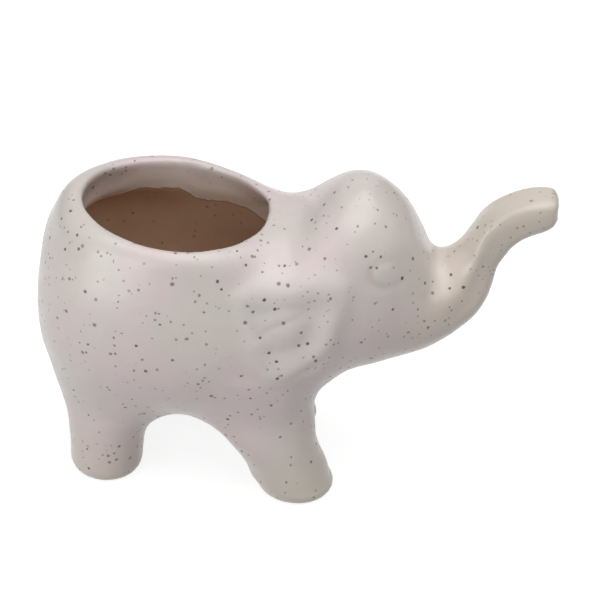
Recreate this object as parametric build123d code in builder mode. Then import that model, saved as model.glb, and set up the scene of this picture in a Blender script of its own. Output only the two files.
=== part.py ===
# Elephant planter: a slip-cast stoneware pot shaped as a standing elephant with its trunk raised.
# X runs along the animal, with the head at +X, Y runs across it, and Z is up.
# The origin is on the table, under the middle of the animal's overall box.
# The clay portions that are cast apart and luted together with slip are separate solids.

from build123d import *
import math
import os

os.makedirs("parts", exist_ok=True)

# Overall sizes of the animal, in millimetres.
figure_length = 164.4
figure_height = 112.5
body_width = 76.6

# Clay and opening, whose lip lies this far above the dip between back and head.
lip_clearance = 0.33
wall = 4.0
lip_round = 1.5
drain_diameter = 8.0

# Ears and eyes, as seen from the side of the animal, and how high up it their middles lie.
ear_length = 37.0
ear_height = 39.0
ear_forward = 1.0
ear_relief = 2.2
ear_level_share = 0.631
eye_length = 10.5
eye_height = 6.5
eye_forward = 30.0
eye_relief = 0.7
eye_level_share = 0.791

# Legs: the footprint of each foot, how far it stands from the middle plane, and how high
# up the animal the top of the leg lies, inside the body.
front_foot_length = 26.2
front_foot_width = 25.0
front_foot_forward = 8.8
front_foot_out = 18.5
rear_foot_length = 23.8
rear_foot_width = 24.0
rear_foot_back = 55.3
rear_foot_out = 17.6
leg_top_share = 0.4444
# The left front foot stands this much further back than the right one.
front_left_setback = 8.0

# The animal from rump to trunk tip, as cross-sections square to its spine. Each row
# holds shares: place along half the length and height of the widest level, then half
# width, rise above that level and drop below it, then how much of a right angle the
# section leans back, and how square it is, where 0.55 is an ellipse and 1 a box.
rump_place_share, rump_height_share = -0.988, 0.533
barrel_shares = [
    (-0.984, 0.533, 0.17, 0.065, 0.060, 0, 0.58),
    (-0.968, 0.533, 0.37, 0.174, 0.144, 0, 0.58),
    (-0.930, 0.533, 0.57, 0.268, 0.216, 0, 0.58),
    (-0.860, 0.530, 0.76, 0.346, 0.279, 0, 0.58),
    (-0.755, 0.525, 0.90, 0.417, 0.318, 0, 0.58),
    (-0.610, 0.520, 0.98, 0.491, 0.339, 0, 0.58),
    (-0.440, 0.515, 1.00, 0.542, 0.331, 0, 0.58),
    (-0.270, 0.525, 0.98, 0.441, 0.336, 0, 0.58),
    (-0.120, 0.545, 0.93, 0.328, 0.336, 0, 0.58),
    (-0.038, 0.570, 0.90, 0.268, 0.345, 0, 0.64),
    (0.018, 0.583, 0.88, 0.267, 0.355, 0, 0.66),
]
head_shares = [
    barrel_shares[-1],
    (0.100, 0.613, 0.82, 0.302, 0.358, 0, 0.60),
    (0.180, 0.640, 0.77, 0.320, 0.334, 0, 0.58),
    (0.268, 0.653, 0.72, 0.320, 0.279, 0, 0.58),
    (0.365, 0.653, 0.65, 0.290, 0.249, 0, 0.58),
    (0.438, 0.631, 0.575, 0.262, 0.203, 0, 0.58),
    (0.499, 0.618, 0.51, 0.205, 0.172, 0, 0.58),
    (0.552, 0.612, 0.457, 0.155, 0.141, 0.06, 0.58),
]
trunk_shares = [
    head_shares[-1],
    (0.637, 0.650, 0.366, 0.113, 0.115, 0.22, 0.60),
    (0.675, 0.683, 0.320, 0.096, 0.101, 0.38, 0.63),
    (0.695, 0.715, 0.274, 0.085, 0.089, 0.52, 0.66),
    (0.708, 0.746, 0.243, 0.072, 0.075, 0.64, 0.68),
    (0.722, 0.778, 0.223, 0.061, 0.063, 0.74, 0.68),
    (0.740, 0.810, 0.216, 0.060, 0.062, 0.74, 0.68),
    (0.757, 0.835, 0.211, 0.059, 0.062, 0.68, 0.68),
    (0.774, 0.857, 0.211, 0.058, 0.061, 0.58, 0.68),
    (0.798, 0.878, 0.209, 0.056, 0.060, 0.51, 0.68),
    (0.823, 0.895, 0.207, 0.055, 0.059, 0.41, 0.68),
    (0.849, 0.909, 0.205, 0.055, 0.059, 0.31, 0.68),
    (0.890, 0.926, 0.205, 0.055, 0.059, 0.24, 0.68),
    (0.937, 0.938, 0.200, 0.054, 0.058, 0.19, 0.68),
    (0.975, 0.944, 0.176, 0.050, 0.044, 0.10, 0.68),
    (0.991, 0.947, 0.126, 0.035, 0.026, 0.04, 0.68),
]

# The blunt front end of the hollow in the head, in the same shares.
hollow_end_shares = (0.410, 0.645, 0.46, 0.190, 0.170, 0, 0.58)
hollow_reach_share = 0.435

# One ear from the side, as four curves end to end, starting at the back of its rolled
# top edge. Each row is a control point in shares of the ear's length and height from
# its centre, then the share of the relief that its border has there.
ear_outline_shares = [
    (-0.49, 0.26, 1.0),
    (-0.32, 0.37, 1.3),
    (0.15, 0.48, 1.3),
    (0.31, 0.49, 1.2),
    (0.55, 0.48, 1.0),
    (0.53, 0.03, 1.0),
    (0.34, -0.31, 1.0),
    (0.23, -0.51, 1.0),
    (-0.13, -0.61, 0.8),
    (-0.24, -0.33, 0.7),
    (-0.30, -0.15, 0.6),
    (-0.35, 0.05, 0.6),
]

# The ear's outline at each step from its root under the skin to the middle of its dish:
# share of full size, and share of the border's relief.
ear_ring_shares = [(0.90, -1.0), (1.00, 0.2), (0.95, 0.8), (0.86, 1.0), (0.76, 0.8), (0.64, 0.4), (0.40, 0.3)]
ear_dish_share = 0.3

# One eye in the same way, starting at its back corner, with its rings up to its flat top.
eye_outline_shares = [
    (-0.50, 0.05, 1.0),
    (-0.40, 0.27, 1.0),
    (-0.22, 0.50, 1.0),
    (-0.03, 0.50, 1.0),
    (0.20, 0.50, 1.0),
    (0.38, 0.10, 1.0),
    (0.50, -0.35, 1.0),
    (0.36, -0.44, 1.0),
    (0.22, -0.50, 1.0),
    (0.04, -0.50, 1.0),
    (-0.18, -0.50, 1.0),
    (-0.42, -0.25, 1.0),
]
eye_ring_shares = [(0.90, -1.0), (1.00, 0.1), (0.93, 0.6), (0.80, 0.9), (0.55, 1.0)]
eye_top_share = 1.0

# The legs as stacks of ovals from the sole up. Each row holds shares: height,
# forward shift of the foot's length, length, width and outward shift of its width.
front_leg_shares = [
    (0.00, 0.00, 0.78, 0.78, 0.00),
    (0.02, 0.00, 0.92, 0.92, 0.00),
    (0.06, 0.00, 1.00, 1.00, 0.00),
    (0.12, -0.07, 1.04, 1.01, 0.00),
    (0.20, -0.13, 1.05, 1.01, 0.00),
    (0.30, -0.24, 1.08, 1.02, 0.00),
    (0.40, -0.36, 1.17, 1.04, 0.00),
    (0.60, -0.56, 1.44, 1.00, -0.01),
    (0.80, -0.64, 1.30, 0.88, -0.10),
    (1.00, -0.66, 0.95, 0.64, -0.26),
]
rear_leg_shares = [
    (0.00, 0.00, 0.78, 0.78, 0.00),
    (0.02, 0.00, 0.92, 0.92, 0.00),
    (0.06, 0.00, 1.00, 1.00, 0.00),
    (0.12, 0.00, 1.02, 1.01, 0.00),
    (0.20, 0.00, 1.03, 1.02, 0.00),
    (0.30, 0.00, 1.07, 1.03, 0.00),
    (0.40, 0.02, 1.15, 1.05, 0.00),
    (0.60, 0.08, 1.43, 1.03, 0.00),
    (0.80, 0.06, 1.35, 0.92, -0.06),
    (1.00, 0.10, 0.95, 0.68, -0.22),
]

# How far along its corner an ellipse's curve keeps its direction.
round_share = 0.5523

dip_share, dip_level_share, _, dip_rise_share = barrel_shares[-2][:4]
rim_height = (dip_level_share + dip_rise_share) * figure_height + lip_clearance
leg_top = leg_top_share * figure_height
half_length = figure_length / 2
half_width = body_width / 2
widest_share = max(barrel_shares, key=lambda row: row[2])[0]


def section_quarters(row, grow=0, shift=0):
    """The control points of the four quarter curves of a section, grown or shrunk all round."""
    along, centre, width, rise, drop, lean, fullness = row
    place = Plane(
        origin=(along * half_length + shift, 0, centre * figure_height),
        x_dir=(0, 1, 0),
        z_dir=(math.cos(lean * math.pi / 2), 0, math.sin(lean * math.pi / 2)),
    )
    side = width * half_width + grow
    quarters = []
    for end in (rise * figure_height + grow, -drop * figure_height - grow):
        for way in (side, -side):
            corners = ((0, end), (way * fullness, end), (way, end * fullness), (way, 0))
            quarters.append([place.from_local_coords(Vector(x, y, 0)) for x, y in corners])
    return quarters


def pole_quarters(along, centre, shift=0):
    """A section that has shrunk to one point, where a rounded end closes."""
    point = Vector(along * half_length + shift, 0, centre * figure_height)
    return [[point] * 4] * 4


def spacing(one, other):
    """The mean distance between two sections, measured at their tops and sides."""
    gaps = [(p[end] - q[end]).length for p, q in zip(one, other) for end in (0, -1)]
    return sum(gaps) / len(gaps)


def flow(sections, place, quarter, corner, spine):
    """The direction in which one control point travels as it passes through a section."""
    here = sections[place][quarter][corner]
    steps = []
    for neighbour in (place - 1, place + 1):
        if 0 <= neighbour < len(sections):
            gap = spacing(sections[place], sections[neighbour])
            steps.append(((sections[neighbour][quarter][corner] - here) / gap, gap))
    if len(steps) == 2:
        (back, gap_back), (ahead, gap_ahead) = steps
        return (ahead * gap_back - back * gap_ahead) / (gap_back + gap_ahead)
    way = 1 if place == 0 else -1
    slope = steps[0][0] * way
    # At a rounded end the skin starts out square to the spine.
    is_pole = (sections[place][0][0] - sections[place][1][-1]).length == 0
    return slope - spine * slope.dot(spine) if is_pole else slope


def skin_solid(sections, first=0, last=None, spine=Vector(1, 0, 0)):
    """A closed solid through some of the sections, smooth along its length, with flat ends."""
    last = len(sections) - 1 if last is None else last
    faces = []
    for place in range(first, last):
        near, far = sections[place], sections[place + 1]
        handle = spacing(near, far) / 3
        for quarter in range(4):
            grid = []
            for corner in range(4):
                start, end = near[quarter][corner], far[quarter][corner]
                leave = start + flow(sections, place, quarter, corner, spine) * handle
                arrive = end - flow(sections, place + 1, quarter, corner, spine) * handle
                grid.append([start, leave, arrive, end])
            faces.append(Face.make_bezier_surface(grid))
    for end in (first, last):
        if spacing(sections[end], [[sections[end][0][0]] * 4] * 4) > 0:
            rim_curves = [Edge.make_bezier(*quarter) for quarter in sections[end]]
            faces.append(Face(Wire(rim_curves)))
    return Solid(Shell(faces))


def body_sections(grow=0):
    """The sections from the tip of the rump to the neck, grown or shrunk square to the skin."""
    sections = [pole_quarters(rump_place_share, rump_height_share, -grow)]
    for row in barrel_shares:
        # From the widest section back, the skin turns from facing outwards to facing rearwards.
        turn = max(0, (widest_share - row[0]) / (widest_share - rump_place_share))
        sections.append(section_quarters(row, grow * math.sqrt(1 - turn), -grow * math.sqrt(turn)))
    return sections


def figure_sections(grow=0):
    """The sections of the whole animal, from the tip of the rump to the trunk's tip."""
    front = [*head_shares[1:], *trunk_shares[1:]]
    return [*body_sections(grow), *(section_quarters(row, grow) for row in front)]


def hollow_sections():
    """The sections of the hollow that runs through body and head, inside the cast wall."""
    front = [*head_shares[1:5], hollow_end_shares]
    end = pole_quarters(hollow_reach_share, hollow_end_shares[1])
    return [*body_sections(-wall), *(section_quarters(row, -wall) for row in front), end]


def leg_form(rows, foot_length, foot_width, foot_x, foot_y, setback):
    """One whole leg from its sole up into the body, before the body is taken out of it."""
    sections = []
    for height, forward, length, width, outward in rows:
        x = foot_x + forward * foot_length - setback * (1 - height)
        y = foot_y + math.copysign(outward * foot_width, foot_y)
        half_x, half_y = length * foot_length / 2, width * foot_width / 2
        quarters = []
        for way_x, way_y in ((1, 1), (-1, 1), (-1, -1), (1, -1)):
            dx, dy = way_x * half_x, way_y * half_y
            corners = ((dx, 0), (dx, dy * round_share), (dx * round_share, dy), (0, dy))
            quarters.append([Vector(x + u, y + v, height * leg_top) for u, v in corners])
        sections.append(quarters)
    return skin_solid(sections, spine=Vector(0, 0, 1))


def on_skin(x, z, lift):
    """A point over the right side of the animal, lifted square to the skin, seen from the side."""
    sight = Axis((x, -body_width, z), (0, 1, 0))
    point, normal = barrel_form.find_intersection_points(sight)[0]
    return point + normal * lift


def pad_form(outline, rings, middle, centre, size, relief):
    """A pad on the right side of the animal, from a point under the skin to its own middle."""
    (centre_x, centre_z), (length, height) = centre, size
    sections = [[[on_skin(centre_x, centre_z, -relief)] * 4] * 4]
    for share, level in rings:
        ring = []
        for along, up, border in outline:
            lift = level * relief * (border if level > middle else 1)
            ring.append(on_skin(centre_x + along * share * length, centre_z + up * share * height, lift))
        ring.append(ring[0])
        sections.append([ring[place : place + 4] for place in range(0, len(ring) - 1, 3)])
    sections.append([[on_skin(centre_x, centre_z, middle * relief)] * 4] * 4)
    return skin_solid(sections, spine=Vector(0, 1, 0))


neck_place = len(barrel_shares)
root_place = neck_place + len(head_shares) - 1
outside = figure_sections()
hollow = skin_solid(hollow_sections())

# The whole outside of body and head, uncut, which legs and ears are fitted to.
barrel_form = skin_solid(outside, 0, root_place)

# Body: a cast wall round the planting cavity, cut level at the opening and rounded there.
with BuildPart() as pot_body:
    add(skin_solid(outside, 0, neck_place))
    add(hollow, mode=Mode.SUBTRACT)
    with Locations((dip_share * half_length, 0, rim_height)):
        Box(
            figure_length,
            body_width,
            figure_height,
            align=(Align.MAX, Align.CENTER, Align.MIN),
            mode=Mode.SUBTRACT,
        )
    rim = pot_body.faces().filter_by(Axis.Z).sort_by(Axis.Z)[-1]
    fillet(rim.inner_wires()[0].edges(), lip_round)
    rim = pot_body.faces().filter_by(Axis.Z).sort_by(Axis.Z)[-1]
    fillet(rim.outer_wire().edges(), lip_round)
    with Locations((widest_share * half_length, 0, 0)):
        Cylinder(
            drain_diameter / 2,
            figure_height / 2,
            align=(Align.CENTER, Align.CENTER, Align.MIN),
            mode=Mode.SUBTRACT,
        )
pot_body.part.label = "pot_body"
export_step(pot_body.part, "parts/pot_body.step")

# Head: the same cast wall, open to the body through the neck, with an almond eye in low
# relief on each side.
eye_right = pad_form(
    eye_outline_shares,
    eye_ring_shares,
    eye_top_share,
    (eye_forward, eye_level_share * figure_height),
    (eye_length, eye_height),
    eye_relief,
)
with BuildPart() as head:
    add(skin_solid(outside, neck_place, root_place))
    add(eye_right)
    add(mirror(eye_right, about=Plane.XZ, mode=Mode.PRIVATE))
    add(hollow, mode=Mode.SUBTRACT)
head.part.label = "head"
export_step(head.part, "parts/head.step")

# Trunk: solid, raised and curled forward at the tip.
with BuildPart() as trunk:
    add(skin_solid(outside, root_place))
trunk.part.label = "trunk"
export_step(trunk.part, "parts/trunk.step")

# Ears: pads pressed on over the neck, with a rolled border round a shallow dish.
ear_pad = pad_form(
    ear_outline_shares,
    ear_ring_shares,
    ear_dish_share,
    (ear_forward, ear_level_share * figure_height),
    (ear_length, ear_height),
    ear_relief,
)
with BuildPart() as ear_right:
    add(ear_pad)
    add(barrel_form, mode=Mode.SUBTRACT)
ear_right.part.label = "ear_right"
export_step(ear_right.part, "parts/ear_right.step")

with BuildPart() as ear_left:
    add(mirror(ear_right.part, about=Plane.XZ, mode=Mode.PRIVATE))
ear_left.part.label = "ear_left"
export_step(ear_left.part, "parts/ear_left.step")

# Legs: solid, pressed on under the belly, each with a flat sole.
legs = [
    ("front_leg", front_leg_shares, front_foot_length, front_foot_width, front_foot_forward, front_foot_out),
    ("rear_leg", rear_leg_shares, rear_foot_length, rear_foot_width, -rear_foot_back, rear_foot_out),
]
for kind, rows, foot_length, foot_width, foot_x, foot_out in legs:
    for side, hand in ((1, "left"), (-1, "right")):
        name = kind + "_" + hand
        setback = front_left_setback if name == "front_leg_left" else 0
        with BuildPart() as leg:
            add(leg_form(rows, foot_length, foot_width, foot_x, side * foot_out, setback))
            add(barrel_form, mode=Mode.SUBTRACT)
        leg.part.label = name
        export_step(leg.part, "parts/" + name + ".step")
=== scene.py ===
import math

import bpy
import numpy as np
import openvdb
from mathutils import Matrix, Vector


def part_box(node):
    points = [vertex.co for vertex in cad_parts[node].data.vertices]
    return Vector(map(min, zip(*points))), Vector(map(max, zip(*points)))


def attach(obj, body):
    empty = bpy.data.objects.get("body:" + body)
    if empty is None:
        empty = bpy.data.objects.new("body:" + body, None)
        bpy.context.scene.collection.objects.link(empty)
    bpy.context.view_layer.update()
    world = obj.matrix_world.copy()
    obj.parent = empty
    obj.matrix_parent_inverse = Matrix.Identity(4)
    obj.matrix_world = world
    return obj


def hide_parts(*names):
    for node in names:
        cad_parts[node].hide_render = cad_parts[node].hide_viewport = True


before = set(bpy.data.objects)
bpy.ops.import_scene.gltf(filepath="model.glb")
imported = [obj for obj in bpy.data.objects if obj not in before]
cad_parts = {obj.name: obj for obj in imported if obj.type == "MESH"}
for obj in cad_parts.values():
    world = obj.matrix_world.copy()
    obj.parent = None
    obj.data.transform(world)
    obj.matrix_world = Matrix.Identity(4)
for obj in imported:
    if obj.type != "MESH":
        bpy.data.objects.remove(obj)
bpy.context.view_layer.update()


# The block of clay: the real planter is one piece of cast stoneware, slip-cast in a mould
# and fettled by hand. It is worked up here on a block of small cells that hold how far each
# one lies from the skin, negative inside the clay, so that every joint is as soft as in clay.
cell = 0.00098
reach_cells = 12
spare_room = 0.004

node_boxes = np.array([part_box(name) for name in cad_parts])
low_corner = node_boxes[:, 0].min(axis=0) - spare_room
high_corner = node_boxes[:, 1].max(axis=0) + spare_room
first_cell = [math.floor(side / cell) for side in low_corner]
cell_counts = [math.ceil(side / cell) - first for side, first in zip(high_corner, first_cell)]
block_x, block_y, block_z = [
    ((first + np.arange(count)) * cell).astype(np.float32) for first, count in zip(first_cell, cell_counts)
]
cell_x, cell_y, cell_z = np.meshgrid(block_x, block_y, block_z, indexing="ij", sparse=True)


def clay_field(points, quads, triangles):
    """How far each cell lies from a closed form, negative inside it."""
    to_block = openvdb.createLinearTransform(voxelSize=cell)
    form = openvdb.FloatGrid.createLevelSetFromPolygons(
        points.astype(np.float32),
        quads=quads.astype(np.uint32),
        triangles=triangles.astype(np.uint32),
        transform=to_block,
        halfWidth=reach_cells,
    )
    field = np.zeros(cell_counts, np.float32)
    form.copyToArray(field, ijk=first_cell)
    return field


def soft_join(one, other, softness):
    """Two portions of clay pressed together, with the joint smoothed over."""
    share = np.clip(0.5 + 0.5 * (other - one) / softness, 0, 1)
    return other + (one - other) * share - softness * share * (1 - share)


def soft_cut(clay, tool, softness):
    """Clay with a tool's form taken out of it, and the edge sponged round."""
    return -soft_join(-clay, tool, softness)


def skin(sections, spine, steps=10, turns=24):
    """Points and faces of a smooth closed skin through sections of four curves each."""
    stack = np.array(sections)
    ends = stack[:, :, (0, 3)]
    gaps = np.linalg.norm(np.diff(ends, axis=0), axis=-1).mean(axis=(1, 2))
    gaps = gaps[:, None, None, None]
    travel = np.diff(stack, axis=0) / gaps
    flow = np.empty_like(stack)
    flow[0], flow[-1] = travel[0], travel[-1]
    flow[1:-1] = (travel[1:] * gaps[:-1] + travel[:-1] * gaps[1:]) / (gaps[:-1] + gaps[1:])
    for end in (0, -1):
        if np.ptp(stack[end].reshape(-1, 3), axis=0).max() == 0:
            flow[end, ..., spine] = 0

    def weights(along):
        rest = 1 - along
        return rest**3, 3 * rest**2 * along, 3 * rest * along**2, along**3

    rings = []
    for number, start in enumerate(stack):
        last = number == len(stack) - 1
        for step in range(1 if last else steps):
            hull = start
            if step:
                stop, handle = stack[number + 1], gaps[number] / 3
                pulls = (start, start + flow[number] * handle, stop - flow[number + 1] * handle, stop)
                hull = sum(pull * part for pull, part in zip(pulls, weights(step / steps)))
            curve = [
                sum(hull[:, knot] * part for knot, part in enumerate(weights(turn / turns)))
                for turn in range(turns)
            ]
            rings.append(np.stack(curve, axis=1).reshape(-1, 3))
    size = len(rings[0])
    points = np.concatenate([*rings, [rings[0].mean(axis=0)], [rings[-1].mean(axis=0)]])
    here = np.arange(size)
    there = (here + 1) % size
    quads = [
        np.stack([ring + here, ring + there, ring + size + there, ring + size + here], axis=1)
        for ring in range(0, size * (len(rings) - 1), size)
    ]
    top = size * (len(rings) - 1)
    centre = len(points) - 2
    first_cap = np.stack([np.full(size, centre), there, here], axis=1)
    last_cap = np.stack([np.full(size, centre + 1), top + here, top + there], axis=1)
    return points, np.concatenate(quads), np.concatenate([first_cap, last_cap])


# Barrel, head and trunk: the cast skin of the animal in cream-glazed stoneware, drawn as
# cross-sections square to its spine, from the rump to the tip of the raised trunk. Each row
# holds shares of the animal's size: place, height, half width, rise, drop, lean, fullness.
figure_length = 0.1644
figure_height = 0.1125
figure_width = 0.0766
rump_place_share, rump_height_share = -0.988, 0.533
barrel_shares = [
    (-0.984, 0.533, 0.17, 0.065, 0.060, 0, 0.58),
    (-0.968, 0.533, 0.37, 0.174, 0.144, 0, 0.58),
    (-0.930, 0.533, 0.57, 0.268, 0.216, 0, 0.58),
    (-0.860, 0.530, 0.76, 0.346, 0.279, 0, 0.58),
    (-0.755, 0.525, 0.90, 0.417, 0.318, 0, 0.58),
    (-0.610, 0.520, 0.98, 0.491, 0.339, 0, 0.58),
    (-0.440, 0.515, 1.00, 0.542, 0.331, 0, 0.58),
    (-0.270, 0.525, 0.98, 0.441, 0.336, 0, 0.58),
    (-0.120, 0.545, 0.93, 0.328, 0.336, 0, 0.58),
    (-0.038, 0.570, 0.90, 0.268, 0.345, 0, 0.64),
    (0.018, 0.583, 0.88, 0.267, 0.355, 0, 0.66),
]
head_shares = [
    (0.100, 0.613, 0.82, 0.302, 0.358, 0, 0.60),
    (0.180, 0.640, 0.77, 0.320, 0.334, 0, 0.58),
    (0.268, 0.653, 0.72, 0.320, 0.279, 0, 0.58),
    (0.365, 0.653, 0.65, 0.290, 0.249, 0, 0.58),
    (0.438, 0.631, 0.575, 0.262, 0.203, 0, 0.58),
    (0.499, 0.618, 0.51, 0.205, 0.172, 0, 0.58),
    (0.552, 0.612, 0.457, 0.155, 0.141, 0.06, 0.58),
]
trunk_shares = [
    (0.637, 0.650, 0.366, 0.113, 0.115, 0.22, 0.60),
    (0.675, 0.683, 0.320, 0.096, 0.101, 0.38, 0.63),
    (0.695, 0.715, 0.274, 0.085, 0.089, 0.52, 0.66),
    (0.708, 0.746, 0.243, 0.072, 0.075, 0.64, 0.68),
    (0.722, 0.778, 0.223, 0.061, 0.063, 0.74, 0.68),
    (0.740, 0.810, 0.216, 0.060, 0.062, 0.74, 0.68),
    (0.757, 0.835, 0.211, 0.059, 0.062, 0.68, 0.68),
    (0.774, 0.857, 0.211, 0.058, 0.061, 0.58, 0.68),
    (0.798, 0.878, 0.209, 0.056, 0.060, 0.51, 0.68),
    (0.823, 0.895, 0.207, 0.055, 0.059, 0.41, 0.68),
    (0.849, 0.909, 0.205, 0.055, 0.059, 0.31, 0.68),
    (0.890, 0.926, 0.205, 0.055, 0.059, 0.24, 0.68),
    (0.937, 0.938, 0.200, 0.054, 0.058, 0.19, 0.68),
    (0.975, 0.944, 0.176, 0.050, 0.044, 0.10, 0.68),
    (0.991, 0.947, 0.126, 0.035, 0.026, 0.04, 0.68),
]
widest_share = max(barrel_shares, key=lambda row: row[2])[0]


def cross_section(row, grow=0.0, shift=0.0):
    """The four curves of one cross-section, as control points, grown or shrunk all round."""
    along, centre, width, rise, drop, lean, fullness = row
    lean_angle = lean * math.pi / 2
    middle = np.array([along * figure_length / 2 + shift, 0, centre * figure_height])
    across = np.array([0, 1, 0])
    upwards = np.array([-math.sin(lean_angle), 0, math.cos(lean_angle)])
    side = width * figure_width / 2 + grow
    top, bottom = rise * figure_height + grow, -drop * figure_height - grow

    def curve(way, end):
        shares = ((0, 1), (fullness, 1), (1, fullness), (1, 0))
        return [middle + across * way * u + upwards * end * v for u, v in shares]

    return [curve(side, top), curve(side, bottom)[::-1], curve(-side, bottom), curve(-side, top)[::-1]]


def pole(along, centre, shift=0.0):
    """A cross-section that has shrunk to one point, where a rounded end closes."""
    point = np.array([along * figure_length / 2 + shift, 0, centre * figure_height])
    return [[point] * 4] * 4


def barrel_sections(grow=0.0):
    """The cross-sections of the barrel, grown or shrunk square to its skin."""
    sections = [pole(rump_place_share, rump_height_share, -grow)]
    for row in barrel_shares:
        closing = max(0, (widest_share - row[0]) / (widest_share - rump_place_share))
        sections.append(cross_section(row, grow * math.sqrt(1 - closing), -grow * math.sqrt(closing)))
    return sections


front_sections = [cross_section(row) for row in [*head_shares, *trunk_shares]]
clay = clay_field(*skin([*barrel_sections(), *front_sections], spine=0))

# Legs: four stubby solid legs in the same clay, luted on under the belly and smoothed in
# with a wet sponge, so that they flow into the flanks. The front pair reaches forward. Each
# row holds shares: height, forward shift, length, width and outward shift.
leg_height = 0.050
front_foot_length, front_foot_width = 0.0262, 0.0250
rear_foot_length, rear_foot_width = 0.0238, 0.0240
front_foot_forward, front_foot_out = 0.0088, 0.0185
rear_foot_back, rear_foot_out = 0.0553, 0.0176
front_left_setback = 0.008
round_share = 0.5523
leg_softness = 0.0075
front_leg_shares = [
    (0.00, 0.00, 0.78, 0.78, 0.00),
    (0.02, 0.00, 0.92, 0.92, 0.00),
    (0.06, 0.00, 1.00, 1.00, 0.00),
    (0.12, -0.07, 1.04, 1.01, 0.00),
    (0.20, -0.13, 1.05, 1.01, 0.00),
    (0.30, -0.24, 1.08, 1.02, 0.00),
    (0.40, -0.36, 1.17, 1.04, 0.00),
    (0.60, -0.56, 1.44, 1.00, -0.01),
    (0.80, -0.64, 1.30, 0.88, -0.10),
    (1.00, -0.66, 0.95, 0.64, -0.26),
]
rear_leg_shares = [
    (0.00, 0.00, 0.78, 0.78, 0.00),
    (0.02, 0.00, 0.92, 0.92, 0.00),
    (0.06, 0.00, 1.00, 1.00, 0.00),
    (0.12, 0.00, 1.02, 1.01, 0.00),
    (0.20, 0.00, 1.03, 1.02, 0.00),
    (0.30, 0.00, 1.07, 1.03, 0.00),
    (0.40, 0.02, 1.15, 1.05, 0.00),
    (0.60, 0.08, 1.43, 1.03, 0.00),
    (0.80, 0.06, 1.35, 0.92, -0.06),
    (1.00, 0.10, 0.95, 0.68, -0.22),
]


def leg_sections(rows, foot_length, foot_width, foot_x, foot_y, setback=0.0):
    """A leg as ovals from its sole up into the body."""
    sections = []
    for height, forward, length, width, outward in rows:
        x = foot_x + forward * foot_length - setback * (1 - height)
        y = foot_y + math.copysign(outward * foot_width, foot_y)
        quarters = []
        for way_x, way_y in ((1, 1), (-1, 1), (-1, -1), (1, -1)):
            u, v = way_x * length * foot_length / 2, way_y * width * foot_width / 2
            curve = [(u, 0), (u, v * round_share), (u * round_share, v), (0, v)]
            quarter = [np.array([x + a, y + b, height * leg_height]) for a, b in curve]
            quarters.append(quarter if way_x == way_y else quarter[::-1])
        sections.append(quarters)
    return sections


front_feet = (front_leg_shares, front_foot_length, front_foot_width, front_foot_forward)
rear_feet = (rear_leg_shares, rear_foot_length, rear_foot_width, -rear_foot_back)
legs = np.full(cell_counts, reach_cells * cell, np.float32)
for leg in (
    leg_sections(*front_feet, front_foot_out, front_left_setback),
    leg_sections(*rear_feet, rear_foot_out),
    leg_sections(*front_feet, -front_foot_out),
    leg_sections(*rear_feet, -rear_foot_out),
):
    legs = np.minimum(legs, clay_field(*skin(leg, spine=2)))
clay = soft_join(clay, legs, leg_softness)

# Ears, eyes and creases: low relief in the mould, the same on both sides of the animal. The
# lines are drawn from the side, as points with their strength there. Each is a ridge of
# raised clay or, with a height below zero, a furrow, and has a height and a width.
relief_start, relief_full = 0.010, 0.016
side_x, side_z = np.meshgrid(block_x, block_z, indexing="ij")


def bend(line, rounds=3):
    """A line through given points, with its corners cut until it runs smoothly."""
    line = np.array(line, float)
    for _ in range(rounds):
        near, far = line[:-1] * 0.75 + line[1:] * 0.25, line[:-1] * 0.25 + line[1:] * 0.75
        middle = np.stack([near, far], axis=1).reshape(-1, line.shape[1])
        line = np.concatenate([line[:1], middle, line[-1:]])
    return line


def stroke(line, width, *spots):
    """How strongly a line is felt at each spot: its strength on it, fading to its sides."""
    felt = 0
    for start, stop in zip(line[:-1], line[1:]):
        run = stop[:-1] - start[:-1]
        share = sum((here - begin) * way for here, begin, way in zip(spots, start, run)) / (run @ run)
        share = np.clip(share, 0, 1)
        gap = sum((here - begin - share * way) ** 2 for here, begin, way in zip(spots, start, run))
        strength = start[-1] + (stop[-1] - start[-1]) * share
        felt = np.maximum(felt, strength * np.exp(-gap / width**2))
    return felt


def pad(outline, slope, across, up):
    """1 well inside a closed outline and 0 outside it, rising over the slope."""
    gap = np.full_like(across, 1.0)
    inside = np.zeros(across.shape, bool)
    for start, stop in zip(outline, np.roll(outline, -1, axis=0)):
        run = stop - start
        share = ((across - start[0]) * run[0] + (up - start[1]) * run[1]) / (run @ run)
        share = np.clip(share, 0, 1)
        to_line = np.hypot(across - start[0] - share * run[0], up - start[1] - share * run[1])
        gap = np.minimum(gap, to_line)
        crosses = (start[1] > up) != (stop[1] > up)
        crossing = start[0] + (up - start[1]) * run[0] / (run[1] if run[1] else 1e-9)
        inside ^= crosses & (across < crossing)
    depth = np.where(inside, gap, -gap)
    share = np.clip(depth / slope + 0.5, 0, 1)
    return share * share * (3 - 2 * share)


ear_outline = bend([
    (-0.0165, 0.0815),
    (-0.0125, 0.0845),
    (-0.0070, 0.0860),
    (0.0000, 0.0872),
    (0.0098, 0.0905),
    (0.0161, 0.0896),
    (0.0195, 0.0856),
    (0.0198, 0.0800),
    (0.0178, 0.0707),
    (0.0157, 0.0638),
    (0.0126, 0.0570),
    (0.0071, 0.0521),
    (0.0010, 0.0509),
    (-0.0041, 0.0533),
    (-0.0075, 0.0580),
    (-0.0094, 0.0666),
    (-0.0130, 0.0745),
    (-0.0165, 0.0815),
])[:-1]
ear_relief, ear_slope = 0.0006, 0.0060
rolled_top = bend([
    (-0.0150, 0.0791, 0.1),
    (-0.0083, 0.0824, 0.7),
    (-0.0027, 0.0836, 1.0),
    (0.0065, 0.0861, 1.0),
    (0.0141, 0.0864, 1.0),
    (0.0172, 0.0836, 0.8),
    (0.0178, 0.0791, 0.4),
])
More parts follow.
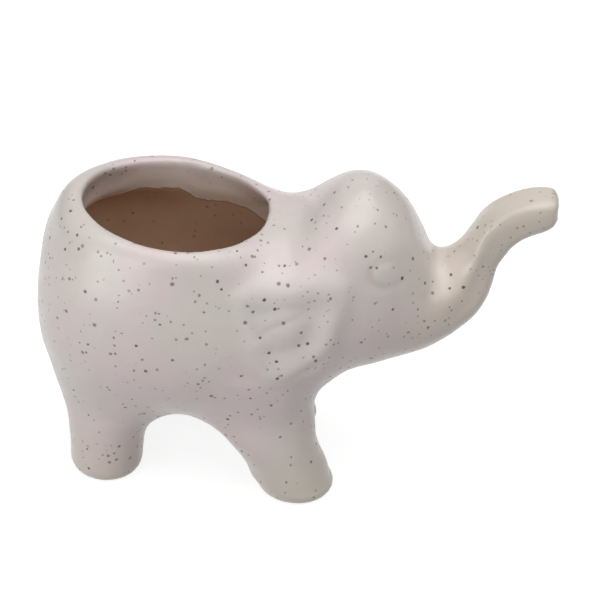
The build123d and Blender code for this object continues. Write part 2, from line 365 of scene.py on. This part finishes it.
roll_fold = bend([
    (-0.0125, 0.0760, 0.2),
    (-0.0060, 0.0768, 0.8),
    (0.0010, 0.0778, 1.0),
    (0.0080, 0.0790, 0.9),
    (0.0135, 0.0792, 0.2),
])
front_rim = bend([
    (0.0125, 0.0805, 0.2),
    (0.0148, 0.0755, 0.8),
    (0.0158, 0.0700, 1.0),
    (0.0143, 0.0640, 1.0),
    (0.0100, 0.0594, 1.0),
    (0.0045, 0.0566, 1.0),
    (-0.0015, 0.0550, 0.9),
    (-0.0065, 0.0565, 0.5),
    (-0.0088, 0.0600, 0.1),
])
bowl = bend([
    (0.0100, 0.0770, 0.4),
    (0.0088, 0.0730, 1.0),
    (0.0068, 0.0680, 1.0),
    (0.0025, 0.0640, 0.9),
    (-0.0025, 0.0640, 0.4),
])
ear_crease = bend([
    (-0.0080, 0.0697, 0.3),
    (-0.0035, 0.0726, 1.0),
    (0.0020, 0.0750, 0.8),
    (0.0060, 0.0775, 0.1),
])
ear_knob = bend([(-0.0072, 0.0672, 1.0), (-0.0050, 0.0660, 0.9)])
ear_foot = bend([
    (-0.0068, 0.0528, 0.3),
    (-0.0010, 0.0500, 1.0),
    (0.0055, 0.0498, 1.0),
    (0.0110, 0.0525, 0.7),
    (0.0160, 0.0590, 0.3),
])
ear_dish = bend([
    (-0.0110, 0.0790),
    (0.0000, 0.0805),
    (0.0085, 0.0815),
    (0.0125, 0.0790),
    (0.0125, 0.0725),
    (0.0095, 0.0650),
    (0.0035, 0.0615),
    (-0.0030, 0.0615),
    (-0.0065, 0.0665),
    (-0.0095, 0.0730),
    (-0.0110, 0.0790),
])[:-1]
ear_dish_depth, ear_dish_slope = 0.0010, 0.0065
ear_lines = [
    (rolled_top, 0.0013, 0.0036),
    (roll_fold, -0.0006, 0.0034),
    (front_rim, 0.0010, 0.0032),
    (bowl, -0.0003, 0.0032),
    (ear_crease, -0.0004, 0.0011),
    (ear_knob, 0.0004, 0.0015),
    (ear_foot, -0.0003, 0.0030),
]

eye_outline = bend([
    (0.0247, 0.0893),
    (0.0270, 0.0915),
    (0.0302, 0.0921),
    (0.0330, 0.0903),
    (0.0352, 0.0867),
    (0.0325, 0.0858),
    (0.0295, 0.0860),
    (0.0265, 0.0873),
    (0.0247, 0.0893),
])[:-1]
eye_relief, eye_slope = 0.00025, 0.0020
lower_lid = bend([
    (0.0250, 0.0912, 0.5),
    (0.0246, 0.0890, 1.0),
    (0.0270, 0.0864, 1.0),
    (0.0308, 0.0851, 0.8),
    (0.0350, 0.0860, 0.2),
])
upper_lid = bend([
    (0.0256, 0.0912, 0.5),
    (0.0282, 0.0929, 0.6),
    (0.0318, 0.0926, 0.5),
    (0.0346, 0.0895, 0.2),
])
brow = bend([(0.0230, 0.0935, 0.3), (0.0290, 0.0968, 1.0), (0.0360, 0.0945, 0.4)])
eye_bag = bend([(0.0240, 0.0850, 0.4), (0.0300, 0.0822, 1.0), (0.0370, 0.0830, 0.4)])
eye_lines = [
    (lower_lid, -0.00042, 0.0012),
    (upper_lid, -0.00012, 0.0011),
    (brow, 0.0001, 0.0028),
    (eye_bag, 0.0003, 0.0024),
]

relief = ear_relief * pad(ear_outline, ear_slope, side_x, side_z)
relief -= ear_dish_depth * pad(ear_dish, ear_dish_slope, side_x, side_z)
relief += eye_relief * pad(eye_outline, eye_slope, side_x, side_z)
for line, height, width in [*ear_lines, *eye_lines]:
    relief += height * stroke(line, width, side_x, side_z)
side_share = np.clip((np.abs(cell_y) - relief_start) / (relief_full - relief_start), 0, 1)
clay -= relief[:, None, :] * side_share

# Folds that run round the form, pressed into the wet clay by hand: the neck's crease, the
# ridge down each side of the trunk between its flat upper face and its flank, the fold and
# the swell of the cheek, and the nostril line across the trunk's tip.
neck_crease = bend([
    (-0.0045, -0.0200, 0.0920, 0.0),
    (-0.0031, -0.0105, 0.0970, 0.8),
    (-0.0006, 0.0000, 0.0980, 1.0),
    (0.0014, 0.0134, 0.0950, 0.8),
    (0.0020, 0.0220, 0.0900, 0.0),
])
trunk_ridge = bend([
    (0.0794, 0.0054, 0.1103, 0.3),
    (0.0719, 0.0060, 0.1086, 0.7),
    (0.0660, 0.0060, 0.1060, 0.9),
    (0.0618, 0.0066, 0.1023, 1.0),
    (0.0590, 0.0075, 0.0975, 1.0),
    (0.0574, 0.0086, 0.0890, 1.0),
    (0.0552, 0.0102, 0.0830, 1.0),
    (0.0524, 0.0126, 0.0785, 1.0),
    (0.0487, 0.0148, 0.0748, 0.7),
    (0.0450, 0.0162, 0.0725, 0.1),
])
trunk_flank = bend([
    (0.0760, 0.0080, 0.1050, 0.3),
    (0.0700, 0.0085, 0.1010, 0.8),
    (0.0655, 0.0085, 0.0965, 1.0),
    (0.0636, 0.0088, 0.0890, 1.0),
    (0.0612, 0.0095, 0.0815, 1.0),
    (0.0575, 0.0115, 0.0752, 0.9),
    (0.0530, 0.0135, 0.0700, 0.3),
])
cheek_fold = bend([
    (0.0565, 0.0085, 0.0830, 0.1),
    (0.0526, 0.0107, 0.0815, 0.8),
    (0.0478, 0.0125, 0.0797, 1.0),
    (0.0420, 0.0150, 0.0790, 0.1),
])
cheek = bend([
    (0.0520, 0.0130, 0.0765, 0.7),
    (0.0470, 0.0145, 0.0760, 1.0),
    (0.0425, 0.0165, 0.0765, 0.4),
])
nostril_line = bend([
    (0.0812, -0.0060, 0.1078, 0.2),
    (0.0820, 0.0000, 0.1078, 1.0),
    (0.0812, 0.0060, 0.1078, 0.2),
])
root_fill = bend([
    (0.0445, -0.0130, 0.0860, 0.4),
    (0.0455, 0.0000, 0.0885, 1.0),
    (0.0445, 0.0130, 0.0860, 0.4),
])
tip_under = bend([
    (0.0790, -0.0060, 0.1015, 0.6),
    (0.0803, 0.0000, 0.1010, 1.0),
    (0.0790, 0.0060, 0.1015, 0.6),
])
folds = [
    (root_fill, 0.0008, 0.0045),
    (neck_crease, -0.0003, 0.0028),
    (trunk_ridge, 0.0012, 0.0021),
    (trunk_flank, -0.0009, 0.0032),
    (cheek_fold, -0.0006, 0.0016),
    (cheek, 0.0009, 0.0030),
    (nostril_line, -0.0014, 0.0014),
    (tip_under, -0.0007, 0.0036),
]


def cells_between(low, high):
    """The part of the block between two corners, and where its cells lie."""
    spans = zip((block_x, block_y, block_z), zip(low, high))
    near = tuple(slice(*np.searchsorted(axis, ends)) for axis, ends in spans)
    return near, (cell_x[near[0]], cell_y[:, near[1]], cell_z[:, :, near[2]])


def model_line(line, height, width):
    """Clay raised or pressed in along a line, on both sides if the line is off the middle."""
    margin = 3 * width
    low, high = line[:, :3].min(axis=0) - margin, line[:, :3].max(axis=0) + margin
    mirrored = line[:, 1].min() > 0
    if mirrored:
        low[1] = -high[1]
    near, (near_x, near_y, near_z) = cells_between(low, high)
    clay[near] -= height * stroke(line, width, near_x, np.abs(near_y) if mirrored else near_y, near_z)


def sponge(low, high, rounds, steepness=3):
    """Rub over the clay within a box, strongest in its middle, to take the edge off its folds."""
    near, spots = cells_between(low, high)
    rubbed = clay[near].copy()
    for _ in range(rounds):
        for way in range(3):
            padded = np.concatenate([rubbed.take([0], way), rubbed, rubbed.take([-1], way)], way)
            count = rubbed.shape[way]
            before, after = padded.take(range(count), way), padded.take(range(2, count + 2), way)
            rubbed = 0.5 * rubbed + 0.25 * (before + after)
    felt = 1.0
    for along, start, stop in zip(spots, low, high):
        felt = felt * np.clip((1 - np.abs(2 * (along - start) / (stop - start) - 1)) * steepness, 0, 1)
    clay[near] += (rubbed - clay[near]) * felt


for fold in folds:
    model_line(*fold)
trunk_root_box = (0.034, -0.030, 0.066), (0.058, 0.030, 0.098)
sponge(*trunk_root_box, rounds=6)

# Opening, cavity and drain hole: the back is cut level at the lip and sponged round, and
# the slip drained from the mould leaves the hollow of body and head inside a 4 mm wall. A
# hole is punched through the floor of the belly.
wall = 0.004
rim_height = 0.0949
rim_tilt = 0.015
lip_outer_softness, lip_inner_softness = 0.0058, 0.0040
neck_start, neck_slope = -0.0085, 0.9
drain_radius, drain_x, drain_softness = 0.004, -0.0362, 0.0008
hollow_end_shares = (0.410, 0.645, 0.46, 0.190, 0.170, 0, 0.58)
hollow_reach_share = 0.435
neck_box = (-0.014, -0.045, 0.074), (0.016, 0.045, 0.108)

level = rim_height - rim_tilt * (cell_x - drain_x) + neck_slope * np.maximum(0, cell_x - neck_start)
clay = soft_cut(clay, level - cell_z, lip_outer_softness)
sponge(*neck_box, rounds=10)
hollow = [cross_section(row, -wall) for row in [*head_shares[:4], hollow_end_shares]]
hollow = [*barrel_sections(-wall), *hollow, pole(hollow_reach_share, hollow_end_shares[1])]
hollow_field = clay_field(*skin(hollow, spine=0))
clay = soft_cut(clay, hollow_field, lip_inner_softness)

# The lip is rolled inwards, most of all at the rump.
lip_roll, lip_roll_width = 0.0024, 0.0066
lip_line = bend([
    (-0.0060, 0.0000, 0.0895, 0.50),
    (-0.0085, -0.0150, 0.0895, 0.40),
    (-0.0200, -0.0250, 0.0895, 0.12),
    (-0.0380, -0.0290, 0.0895, 0.04),
    (-0.0560, -0.0240, 0.0895, 0.35),
    (-0.0665, -0.0130, 0.0895, 0.90),
    (-0.0695, 0.0000, 0.0895, 1.00),
    (-0.0665, 0.0130, 0.0895, 1.00),
    (-0.0560, 0.0240, 0.0895, 0.80),
    (-0.0380, 0.0290, 0.0895, 0.60),
    (-0.0200, 0.0250, 0.0895, 0.50),
    (-0.0085, 0.0150, 0.0895, 0.50),
    (-0.0060, 0.0000, 0.0895, 0.50),
])
model_line(lip_line, lip_roll, lip_roll_width)

# Below the lip the slip stood thickest, so the wall leans inwards there.
lean_thick, lean_width = 0.0026, 0.0058
lean_line = bend([
    (-0.0100, 0.0150, 0.0818, 0.2),
    (-0.0200, 0.0265, 0.0818, 0.5),
    (-0.0380, 0.0305, 0.0818, 0.6),
    (-0.0560, 0.0260, 0.0818, 1.0),
    (-0.0670, 0.0150, 0.0818, 1.5),
    (-0.0715, 0.0000, 0.0818, 1.8),
    (-0.0670, -0.0150, 0.0818, 1.2),
    (-0.0560, -0.0250, 0.0818, 0.2),
])
model_line(lean_line, lean_thick, lean_width)

# The outer edge of the lip is sponged lower over the rump and towards the neck.
ease_depth, ease_width = 0.0011, 0.0048
ease_line = bend([
    (-0.0720, -0.0180, 0.0860, 0.2),
    (-0.0765, -0.0060, 0.0872, 0.9),
    (-0.0755, 0.0060, 0.0890, 1.2),
    (-0.0700, 0.0170, 0.0915, 1.0),
    (-0.0560, 0.0260, 0.0945, 0.2),
    (-0.0400, 0.0300, 0.0955, 0.0),
    (-0.0300, 0.0305, 0.0945, 0.6),
    (-0.0190, 0.0275, 0.0935, 1.0),
    (-0.0100, 0.0215, 0.0930, 0.6),
    (-0.0040, -0.0010, 0.0940, 0.0),
])
model_line(ease_line, -ease_depth, ease_width)

# The drain hole, from the belly's floor up into the cavity.
drain = np.hypot(cell_x - drain_x, cell_y) - drain_radius
drain = np.maximum(drain, cell_z - figure_height / 2)
clay = soft_cut(clay, drain, drain_softness)

# The fired skin: the worked block turned into one closed surface. The planter is dipped in a
# cream glaze that ends inside in a wavy line under the lip; below it, and on the soles, the
# clay is bare. The line is given as angles round the mouth, in degrees, and heights.
glaze_edge = [
    (-180, 0.0748),
    (-150, 0.0770),
    (-120, 0.0802),
    (-95, 0.0788),
    (-70, 0.0805),
    (-45, 0.0768),
    (-20, 0.0735),
    (0, 0.0715),
    (25, 0.0722),
    (47, 0.0738),
    (54, 0.0777),
    (65, 0.0798),
    (77, 0.0786),
    (84, 0.0795),
    (90, 0.0818),
    (96, 0.0831),
    (121, 0.0827),
    (131, 0.0805),
    (146, 0.0765),
    (180, 0.0748),
]
mouth_x = -0.0380
outside_steepness = 14
crease_width = 0.0009
ear_tint_slope = 0.008

block = openvdb.FloatGrid(reach_cells * cell)
block.copyFromArray(np.ascontiguousarray(clay, np.float32), ijk=first_cell)
block.transform = openvdb.createLinearTransform(voxelSize=cell)
points, quads = block.convertToQuads(0.0)
mesh = bpy.data.meshes.new("elephant_planter")
mesh.from_pydata(points.tolist(), [], quads[:, ::-1].tolist())
mesh.validate()
mesh.shade_smooth()
planter = bpy.data.objects.new("elephant_planter", mesh)
bpy.context.scene.collection.objects.link(planter)


def read_field(field):
    """The value of a field of the block at each point of the skin, between its cells."""
    at_cell = points / cell - first_cell
    low = np.floor(at_cell).astype(int)
    share = at_cell - low
    value = 0
    for step in np.ndindex(2, 2, 2):
        weight = np.prod(np.where(step, share, 1 - share), axis=1)
        value += weight * field[tuple((low + step).T)]
    return value


def mark(name, values):
    """A number kept with each point of the skin, for the material to read."""
    mesh.attributes.new(name, "FLOAT", "POINT").data.foreach_set("value", values.astype(np.float32))


skin_x, skin_y, skin_z = points.T
bearing = np.degrees(np.arctan2(skin_y, skin_x - mouth_x))
edge_height = np.interp(bearing, *zip(*glaze_edge))
inside = outside_steepness * (wall / 2 - read_field(hollow_field))
on_side = np.abs(skin_y) > relief_start
# Painted shade: the ear's crease and the eye's lower lid are marked so that the glaze can be darkened there
# as shade.
crease_shade_marks = [stroke(line, crease_width, skin_x, skin_z) for line in (ear_crease, lower_lid)]
mark("below_glaze", np.minimum(edge_height - skin_z, inside))
mark("creases", np.maximum(*crease_shade_marks) * on_side)
mark("ear", pad(ear_outline, ear_tint_slope, skin_x, skin_z) * on_side)


def add_node(tree, kind, inputs, **settings):
    """A new node with its inputs, by name or number, and its settings; a link goes in as it is."""
    node = tree.nodes.new(kind)
    for setting, value in settings.items():
        setattr(node, setting, value)
    for name, value in inputs.items():
        if isinstance(value, bpy.types.NodeSocket):
            tree.links.new(value, node.inputs[name])
        else:
            node.inputs[name].default_value = value
    return node


def work_out(tree, operation, *numbers):
    """A sum that a node works out at each place."""
    return add_node(tree, "ShaderNodeMath", dict(enumerate(numbers)), operation=operation).outputs[0]


def carry_over(tree, value, low, high, start=0.0, stop=1.0, curve="LINEAR"):
    """A value between low and high, carried over to between start and stop."""
    inputs = {0: value, 1: low, 2: high, 3: start, 4: stop}
    return add_node(tree, "ShaderNodeMapRange", inputs, interpolation_type=curve).outputs[0]


def cloud(tree, where, scale, detail, roughness=0.5, output="Fac"):
    """Soft clouds of noise."""
    inputs = {"Vector": where, "Scale": scale, "Detail": detail, "Roughness": roughness}
    return add_node(tree, "ShaderNodeTexNoise", inputs).outputs[output]


cloud_low, cloud_high = 0.3, 0.7

# The iron specks, as a node group: grains scattered through the clay, some in loose clusters,
# each with a ragged edge, its own size and its own darkness. It serves glaze and bare clay.
edge_raggedness, ragged_scale = 0.0005, 1800.0
smallest_speck, speck_core, faintest_speck = 0.6, 0.6, 0.5
clustering, cluster_scale, cluster_low, cluster_high = 0.18, 75.0, 0.35, 0.65

specks = bpy.data.node_groups.new("iron_specks", "ShaderNodeTree")
for title in ("Place", "Offset"):
    specks.interface.new_socket(title, in_out="INPUT", socket_type="NodeSocketVector")
for title in ("Spacing", "Radius", "Share"):
    specks.interface.new_socket(title, in_out="INPUT", socket_type="NodeSocketFloat")
specks.interface.new_socket("Specks", in_out="OUTPUT", socket_type="NodeSocketFloat")
given = specks.nodes.new("NodeGroupInput").outputs
moved = add_node(specks, "ShaderNodeVectorMath", {0: given["Place"], 1: given["Offset"]}, operation="ADD")
ragged = cloud(specks, moved.outputs[0], ragged_scale, 1.0, output="Color")
ragged = add_node(specks, "ShaderNodeVectorMath", {0: ragged, 1: (0.5, 0.5, 0.5)}, operation="SUBTRACT")
ragged = add_node(
    specks, "ShaderNodeVectorMath", {0: ragged.outputs[0], "Scale": edge_raggedness}, operation="SCALE"
)
bent = add_node(specks, "ShaderNodeVectorMath", {0: moved.outputs[0], 1: ragged.outputs[0]}, operation="ADD")
closeness = work_out(specks, "DIVIDE", 1.0, given["Spacing"])
grains = add_node(specks, "ShaderNodeTexVoronoi", {"Vector": bent.outputs[0], "Scale": closeness}).outputs
chances = add_node(specks, "ShaderNodeSeparateColor", {"Color": grains["Color"]}).outputs
from_middle = work_out(specks, "MULTIPLY", grains["Distance"], given["Spacing"])
speck_size = carry_over(specks, chances[0], 0.0, 1.0, smallest_speck, 1.0)
speck_size = work_out(specks, "MULTIPLY", speck_size, given["Radius"])
core_size = work_out(specks, "MULTIPLY", speck_size, speck_core)
spot = carry_over(specks, from_middle, speck_size, core_size, 0.0, 1.0, "SMOOTHSTEP")
crowding = cloud(specks, moved.outputs[0], cluster_scale, 2.0)
crowding = carry_over(specks, crowding, cluster_low, cluster_high, -clustering, clustering)
wanted = work_out(specks, "ADD", given["Share"], crowding)
kept = work_out(specks, "LESS_THAN", chances[1], wanted)
darkness = carry_over(specks, chances[2], 0.0, 1.0, faintest_speck, 1.0)
darkness = work_out(specks, "MULTIPLY", kept, darkness)
darkness = work_out(specks, "MULTIPLY", darkness, spot)
specks.links.new(darkness, specks.nodes.new("NodeGroupOutput").inputs["Specks"])

glaze = bpy.data.materials.new("speckled_cream_glaze")
glaze.use_nodes = True
tree = glaze.node_tree
shader = tree.nodes["Principled BSDF"]
where = tree.nodes.new("ShaderNodeTexCoord").outputs["Object"]
where_parts = add_node(tree, "ShaderNodeSeparateXYZ", {"Vector": where}).outputs
forward, height_up = where_parts["X"], where_parts["Z"]


def place_specks(spacing, radius, share, offset):
    """The speck group placed in the glaze with its own values."""
    inputs = {"Place": where, "Offset": offset, "Spacing": spacing, "Radius": radius, "Share": share}
    return add_node(tree, "ShaderNodeGroup", inputs, node_tree=specks).outputs["Specks"]


def read_mark(name):
    """One of the numbers kept with each point of the skin."""
    return add_node(tree, "ShaderNodeAttribute", {}, attribute_name=name).outputs["Fac"]


def blend(under, over, share):
    """One colour laid over another by a share."""
    under, over = [(*colour, 1) if isinstance(colour, tuple) else colour for colour in (under, over)]
    return add_node(tree, "ShaderNodeMix", {0: share, 6: under, 7: over}, data_type="RGBA").outputs[2]


large_specks = place_specks(spacing=0.0029, radius=0.00080, share=0.46, offset=(0.11, 0.05, 0.0))
fine_specks = place_specks(spacing=0.0023, radius=0.00060, share=0.40, offset=(0.37, 0.18, 0.0))

# Where the glaze ends: along the wavy line inside, above which it gathers in a bead, and round the wiped
# soles. Higher up on the inner wall, under the lip, a paler cream is painted in as light. The ranges are
# depths below that edge.
edge_ripple, ripple_scale = 0.0006, 160.0
wiped_height = 0.0006
bead_from, bead_to = -0.0050, -0.0004
painted_light_from, painted_light_to, painted_light_strength = -0.0120, -0.0060, 0.9
bare_from, bare_to = -0.0001, 0.0003
edge_darkening_from, edge_darkening_to, edge_darkening_strength = 0.0012, 0.0002, 0.5

ripple = cloud(tree, where, ripple_scale, 3.0)
ripple = carry_over(tree, ripple, cloud_low, cloud_high, -edge_ripple, edge_ripple)
below_edge = work_out(tree, "ADD", read_mark("below_glaze"), ripple)
bead = carry_over(tree, below_edge, bead_from, bead_to, curve="SMOOTHSTEP")
# Painted light: the band of the inner wall under the lip, lightened to a paler cream.
inner_painted_light = carry_over(tree, below_edge, painted_light_from, painted_light_to, 0.0, painted_light_strength, "SMOOTHSTEP")
in_sole = work_out(tree, "SUBTRACT", wiped_height, height_up)
below_edge = work_out(tree, "MAXIMUM", below_edge, in_sole)
bare = carry_over(tree, below_edge, bare_from, bare_to, curve="SMOOTHSTEP")
glaze_edge_darkening = carry_over(tree, below_edge, edge_darkening_from, edge_darkening_to, 0.0, edge_darkening_strength, "SMOOTHSTEP")

# The glaze: off-white that drifts between pink and green, a little greener on the ears, and
# yellower where it runs thin, at the feet and on the raised trunk.
pink_cream, green_cream, ear_cream = (0.720, 0.608, 0.612), (0.668, 0.628, 0.580), (0.690, 0.680, 0.635)
mottled_cream, thin_cream, painted_light_cream = (0.650, 0.560, 0.540), (0.662, 0.585, 0.488), (0.85, 0.77, 0.70)
# A brown that is painted into the creases as their shade.
painted_crease_shade = (0.500, 0.405, 0.375)
fine_speck_brown, large_speck_brown = (0.330, 0.255, 0.235), (0.092, 0.068, 0.054)
drift_scale, drift_low, drift_high = 26.0, 0.42, 0.58
mottle_scale, most_mottle = 190.0, 0.35
jaw_slant, jaw_offset = -0.5, 0.0425
trunk_thin_from, trunk_thin_to, trunk_thinness = 0.034, 0.054, 0.7
feet_thin_from, feet_thin_to, feet_thinness = 0.030, 0.004, 0.6
ear_paleness, crease_shade_strength = 0.6, 0.45

towards_jaw = work_out(tree, "MULTIPLY_ADD", height_up, jaw_slant, jaw_offset)
towards_tip = work_out(tree, "ADD", forward, towards_jaw)
thin_trunk = carry_over(tree, towards_tip, trunk_thin_from, trunk_thin_to, 0.0, trunk_thinness)
thin_feet = carry_over(tree, height_up, feet_thin_from, feet_thin_to, 0.0, feet_thinness)
thin = work_out(tree, "MAXIMUM", thin_trunk, thin_feet)
drift = carry_over(tree, cloud(tree, where, drift_scale, 2.0, 0.45), drift_low, drift_high)
mottle = carry_over(tree, cloud(tree, where, mottle_scale, 3.0), cloud_low, cloud_high, 0.0, most_mottle)
cream = blend(pink_cream, green_cream, drift)
cream = blend(cream, ear_cream, work_out(tree, "MULTIPLY", read_mark("ear"), ear_paleness))
cream = blend(cream, mottled_cream, mottle)
cream = blend(cream, thin_cream, thin)
# Painted shade: the glaze turns brown along the ear's crease and the eye's lower lid.
cream = blend(cream, painted_crease_shade, work_out(tree, "MULTIPLY", read_mark("creases"), crease_shade_strength))
cream = blend(cream, fine_speck_brown, fine_specks)
cream = blend(cream, large_speck_brown, large_specks)
# Painted light: the inner wall under the lip is laid over with a paler cream.
cream = blend(cream, painted_light_cream, inner_painted_light)

# The bare stoneware: warm brown, with specks, and darker just below the edge of the glaze.
brown_clay, pale_clay = (0.552, 0.366, 0.248), (0.612, 0.420, 0.294)
clay_speck_brown, edge_darkening_brown = (0.330, 0.210, 0.145), (0.270, 0.150, 0.092)
earth_scale = 60.0

earth = carry_over(tree, cloud(tree, where, earth_scale, 5.0, 0.6), cloud_low, cloud_high)
brown = blend(brown_clay, pale_clay, earth)
brown = blend(brown, clay_speck_brown, large_specks)
brown = blend(brown, edge_darkening_brown, glaze_edge_darkening)
tree.links.new(blend(cream, brown, bare), shader.inputs["Base Color"])

# The surface: satin glaze with a faint orange-peel, pitted at the specks and raised in a bead
# at its edge, and dull, grainy bare clay.
smooth_glaze, dull_glaze, bare_roughness = 0.30, 0.42, 0.88
glaze_coat, coat_roughness = 0.35, 0.18
pit_depth, bead_height = 0.00004, 0.00028
peel_height, peel_scale = 0.00006, 420.0
grain_height, grain_scale = 0.00015, 1500.0

glaze_roughness = carry_over(tree, mottle, 0.0, most_mottle, smooth_glaze, dull_glaze)
roughness = carry_over(tree, bare, 0.0, 1.0, glaze_roughness, bare_roughness)
tree.links.new(roughness, shader.inputs["Roughness"])
coat = carry_over(tree, bare, 0.0, 1.0, glaze_coat, 0.0)
tree.links.new(coat, shader.inputs["Coat Weight"])
shader.inputs["Coat Roughness"].default_value = coat_roughness
peel = work_out(tree, "MULTIPLY", cloud(tree, where, peel_scale, 2.0), peel_height)
pits = work_out(tree, "MULTIPLY", large_specks, -pit_depth)
swell = work_out(tree, "MULTIPLY", bead, bead_height)
glaze_rise = work_out(tree, "ADD", work_out(tree, "ADD", peel, pits), swell)
grain = work_out(tree, "MULTIPLY", cloud(tree, where, grain_scale, 4.0, 0.7), grain_height)
rise = carry_over(tree, bare, 0.0, 1.0, glaze_rise, grain)
bump = add_node(tree, "ShaderNodeBump", {"Strength": 1.0, "Distance": 1.0, "Height": rise})
tree.links.new(bump.outputs["Normal"], shader.inputs["Normal"])

mesh.materials.append(glaze)
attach(planter, "root")
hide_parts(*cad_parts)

# The floor: a wide sheet of white paper under the planter, which keeps its soft shadow. Its
# grey bounces little light back, and it is lifted to white where it is seen or mirrored.
paper_grey = (0.32, 0.32, 0.32, 1)
paper_lift = 0.85
floor_reach = 3.0

white = bpy.data.materials.new("white_paper")
white.use_nodes = True
paper_tree = white.node_tree
paper = paper_tree.nodes["Principled BSDF"]
paper.inputs["Base Color"].default_value = paper_grey
paper.inputs["Roughness"].default_value = 1.0
paper.inputs["Specular IOR Level"].default_value = 0.0
paper.inputs["Emission Color"].default_value = (1, 1, 1, 1)
rays = paper_tree.nodes.new("ShaderNodeLightPath").outputs
mirrored = work_out(paper_tree, "MAXIMUM", rays["Is Glossy Ray"], rays["Is Transmission Ray"])
seen = work_out(paper_tree, "MAXIMUM", rays["Is Camera Ray"], mirrored)
lift = work_out(paper_tree, "MULTIPLY", seen, paper_lift)
paper_tree.links.new(lift, paper.inputs["Emission Strength"])

floor_mesh = bpy.data.meshes.new("floor")
floor_corners = [(x * floor_reach, y * floor_reach, 0) for x, y in ((-1, -1), (1, -1), (1, 1), (-1, 1))]
floor_mesh.from_pydata(floor_corners, [], [(0, 1, 2, 3)])
floor_mesh.materials.append(white)
floor = bpy.data.objects.new("floor", floor_mesh)
bpy.context.scene.collection.objects.link(floor)

# The light: five square soft lamps round the planter, the strongest one overhead, in a white
# room that is kept dim. Each is given its place, its side in metres and its power in watts.
room_light = 0.11
lamp_aim = Vector((0, 0, 0.05))

world = bpy.data.worlds.new("studio")
bpy.context.scene.world = world
world.use_nodes = True
world.node_tree.nodes["Background"].inputs["Color"].default_value = (1, 1, 1, 1)
world.node_tree.nodes["Background"].inputs["Strength"].default_value = room_light


def lamp(name, stand, size, power):
    """A square soft lamp that faces the planter."""
    light = bpy.data.lights.new(name, "AREA")
    light.size = size
    light.energy = power
    softbox = bpy.data.objects.new(name, light)
    softbox.location = stand
    softbox.rotation_euler = (lamp_aim - Vector(stand)).to_track_quat("-Z", "Y").to_euler()
    bpy.context.scene.collection.objects.link(softbox)


lamp("top_softbox", stand=(0.05, -0.05, 0.95), size=1.0, power=5.4)
lamp("front_softbox", stand=(-0.22, -0.48, 0.70), size=1.0, power=1.35)
lamp("left_softbox", stand=(-0.38, -0.46, 0.11), size=0.45, power=1.8)
lamp("right_softbox", stand=(0.50, -0.15, 0.75), size=1.0, power=1.9)
lamp("back_softbox", stand=(-0.10, 0.90, 0.40), size=0.9, power=1.4)

# The camera, at the photograph's viewing angle: 33 degrees above the side of the animal and
# slightly rolled, with a long lens.
elevation, roll = math.radians(33.0), math.radians(6.2)
distance, target = 0.520, Vector((0.0042, 0, 0.0622))
focal_length, sensor_width = 95.0, 36.0

backwards = Vector((0, -math.cos(elevation), math.sin(elevation)))
rightwards = Vector((1, 0, 0))
upwards = backwards.cross(rightwards)
turned_right = rightwards * math.cos(roll) + upwards * math.sin(roll)
turned_up = upwards * math.cos(roll) - rightwards * math.sin(roll)
lens = bpy.data.cameras.new("camera")
lens.lens = focal_length
lens.sensor_width = sensor_width
camera = bpy.data.objects.new("camera", lens)
camera.matrix_world = (
    (turned_right.x, turned_right.y, turned_right.z, 0),
    (turned_up.x, turned_up.y, turned_up.z, 0),
    (backwards.x, backwards.y, backwards.z, 0),
    (*(target + backwards * distance), 1),
)
bpy.context.scene.collection.objects.link(camera)
bpy.context.scene.camera = camera
bpy.context.scene.view_settings.view_transform = "Standard"
